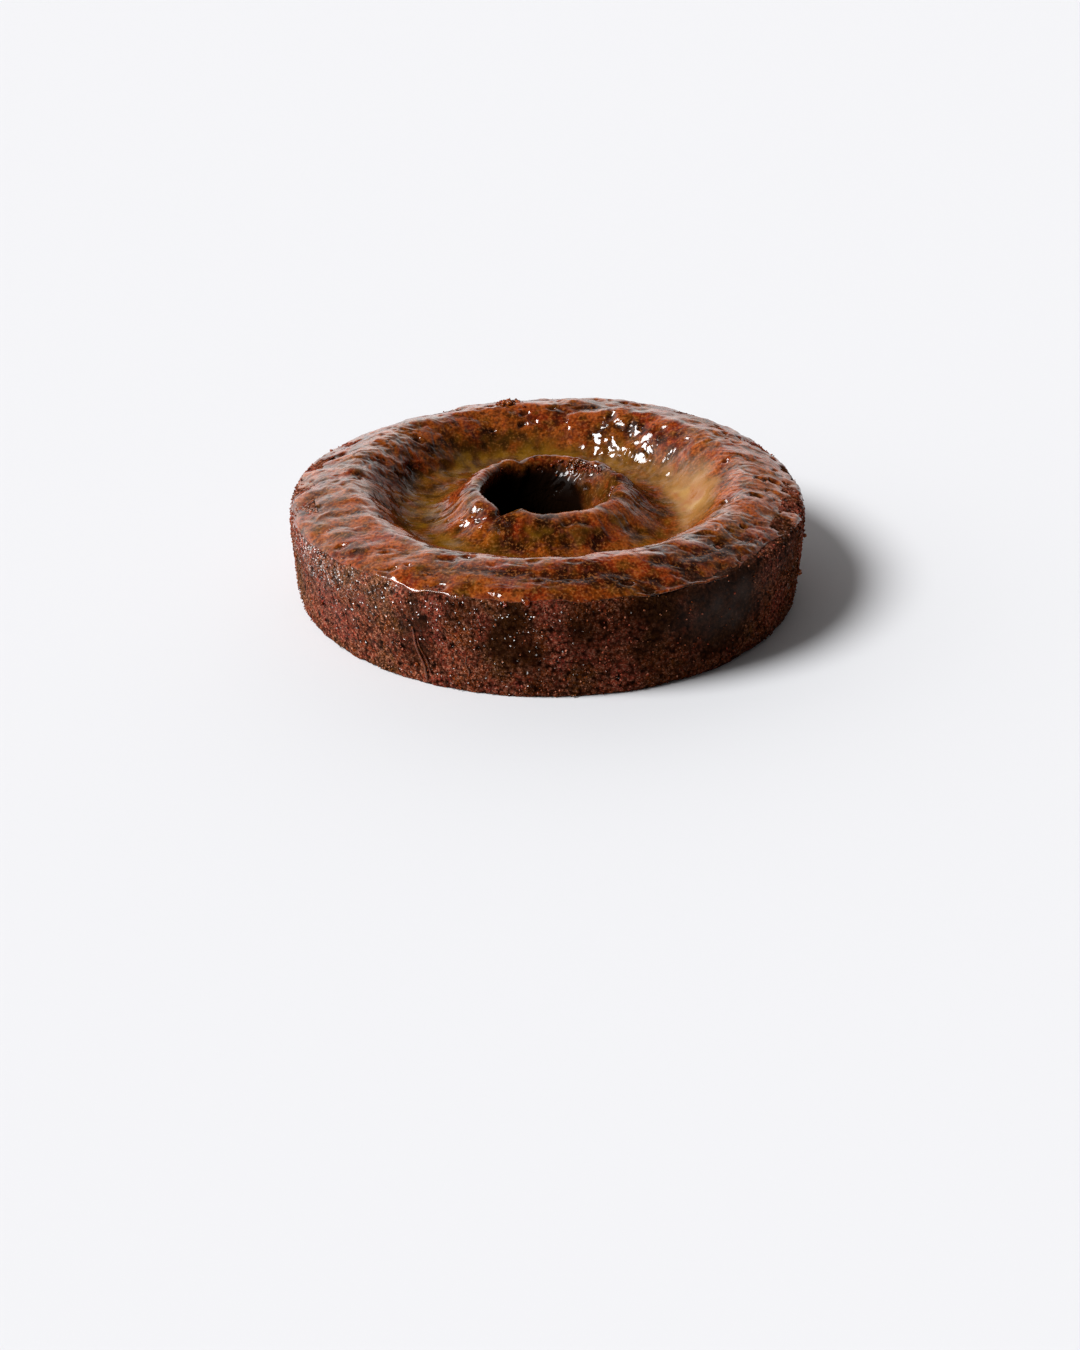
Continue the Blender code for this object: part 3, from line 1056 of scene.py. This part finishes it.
def date_sponge():
    """Grains of many browns, darker in the pores and where sauce soaked in, with a few bright facets."""
    material, tree, place = finish("moist_date_sponge")
    grain, own = sources(tree, place, (30, 18, 5, 1.1), ("soak", "pore", "glint", "haze", "burnt"))
    grains = node(tree, "TexVoronoi", {"Scale": 1 / (DRAWN_GRAIN * MM)}, {"Vector": place}).outputs["Color"]
    parts = node(tree, "SeparateColor", {}, {"Color": grains}).outputs
    luck, weight, facet = damp_grains(tree, grains, parts, own)
    colour = laid_over(tree, "#a24432", [
        (grain[18], 0.4, 0.6, 1.0, "#843c14"),
        (grain[30], 0.52, 0.62, 0.7, "#6a4a1c"),
        (grain[5], 0.52, 0.66, 0.5, "#7c2c30"),
        (parts["Red"], 0.5, 1.0, 0.9, "#cc8c70"),
        (parts["Green"], 0.5, 0.0, 0.9, "#260a04"),
        (own["soak"], 0.0, 1.0, 0.93, "#2a1506"),
        # painted shade in the pores and steam holes
        (own["pore"], 0.0, 1.0, 1.0, "#160602"),
        # grey painted over the crumb as a sheen of the pale room, on the left and at the front right
        (own["haze"], 0.0, 1.0, 0.5, "#5a5450"),
        # pale grey-white grains: painted glints, besides the real clear coat on chosen grains
        (luck, 1.15, 1.3, 0.8, "#c4bcb8"),
        # painted shade down the hole, and the darker back left wall of the moat
        (own["burnt"], 0.0, 1.0, 1.0, "#0c0502"),
    ])
    bump = node(tree, "Bump", {"Strength": 0.9, "Distance": DRAWN_GRAIN * MM}, {"Height": grain[1.1]})
    coated(tree, colour, 0.5, 1.4, bump, facet, weight)
    return material


sponge_finish = date_sponge()
print(sponge_finish.name, "has", len(sponge_finish.node_tree.nodes), "nodes")

# %% [markdown]
# ## Put together
# Every piece belongs to the one solid of the imported model, which it hides, and gets the finish of
# what it is made of.

# %% Finishes and body
for made_of, slot, pieces in ((sponge_finish, "toffee_sponge", (side, core, crumbs)),
                              (glaze_finish, "toffee_glaze", (rim, well, loose, pebbled, drips))):
    for piece in pieces:
        piece.data.materials.append(made_of)
        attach(piece, "root")
        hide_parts("pudding")
    print(slot, "on", ", ".join(piece.name for piece in pieces))

# %% [markdown]
# ## Floor
# The pudding stands on white matt paper, so wide that its edge lies out near the horizon. A rough
# dielectric with little gloss keeps the shadow free of reflections.

# %% Paper floor
FLOOR_REACH = 6.0


def pale_floor():
    """Flat square of matt white paper round the origin, in metres."""
    mesh = bpy.data.meshes.new("floor")
    places = [(x * FLOOR_REACH, y * FLOOR_REACH, 0) for x, y in ((-1, -1), (1, -1), (1, 1), (-1, 1))]
    mesh.from_pydata(places, [], [(0, 1, 2, 3)])
    sheet = in_scene("floor", mesh)
    material, tree, _ = finish("white_matt_paper")
    shader = node(tree, "BsdfPrincipled",
                  {"Base Color": linear("#d6d7da"), "Roughness": 0.95, "Specular IOR Level": 0.1})
    node(tree, "OutputMaterial", {}, {"Surface": shader})
    sheet.data.materials.append(material)


pale_floor()
print("the floor is", 2 * FLOOR_REACH, "m wide")

# %% [markdown]
# ## Light
# Toffee shows its light sources. A soft window, high on the left and a little to the front, draws the
# broken white flakes at the back right. The room is dim but for a pale wall low at the back and left,
# which the wet crust mirrors as a grey sheen wherever it lies flat.

# %% Window and room
WINDOW_WAY = np.array([-0.68, -0.22, 0.70])
WINDOW_SPREAD, WINDOW_STRENGTH = 25.0, 4.5
WALL_WAY = (-0.7, 0.7, 0.0)
WALL_BOTTOM, WALL_TOP = 0.30, 0.90
DIM, GLOW = 0.03, 1.9


def window_light():
    """A sun lamp as wide in degrees as a near window looks."""
    lamp = bpy.data.lights.new("window", "SUN")
    lamp.angle = math.radians(WINDOW_SPREAD)
    lamp.energy = WINDOW_STRENGTH
    holder = in_scene("window", lamp)
    holder.rotation_euler = Vector(-WINDOW_WAY).to_track_quat("-Z", "Y").to_euler()


def dim_room():
    """World glow: low in the sky times towards the wall, stretched from dim to glow."""
    world = bpy.data.worlds.new("dim_room")
    bpy.context.scene.world = world
    world.use_nodes = True
    tree = world.node_tree
    tree.nodes.clear()
    way = node(tree, "TexCoord", {}).outputs["Generated"]
    height = node(tree, "SeparateXYZ", {}, {"Vector": way}).outputs["Z"]
    towards = node(tree, "VectorMath", {"operation": "DOT_PRODUCT", 1: WALL_WAY}, {0: way}).outputs["Value"]
    below = node(tree, "MapRange", {"From Min": WALL_TOP, "From Max": WALL_BOTTOM}, {"Value": height})
    behind = node(tree, "MapRange", {"From Min": -0.5, "From Max": 0.5}, {"Value": towards})
    wall = node(tree, "Math", {"operation": "MULTIPLY"}, {0: below, 1: behind})
    strength = node(tree, "MapRange", {"To Min": DIM, "To Max": GLOW}, {"Value": wall})
    background = node(tree, "Background", {"Color": linear("#f4f0ee")}, {"Strength": strength})
    node(tree, "OutputWorld", {}, {"Surface": background})


window_light()
dim_room()
print("the window is", WINDOW_SPREAD, "degrees wide, and the wall", round(GLOW / DIM), "times the room")

# %% [markdown]
# ## Camera
# A long lens from a good metre away, looking down by 28 degrees, as one looks at a cake on a table:
# the hole, the moat and the side all show.

# %% Camera
LOOK_DOWN = 28.291
camera_data = bpy.data.cameras.new("camera")
camera_data.lens = 65.0
camera_data.sensor_width = 36.0
camera = in_scene("camera", camera_data)
camera.location = (-0.00369, -1.11405, 0.54433)
camera.rotation_euler = (math.radians(90.0 - LOOK_DOWN), 0.0, 0.0)
bpy.context.scene.camera = camera
bpy.context.scene.view_settings.view_transform = "Standard"
print("the camera is", round(camera.location.length, 2), "m from the middle of the base")
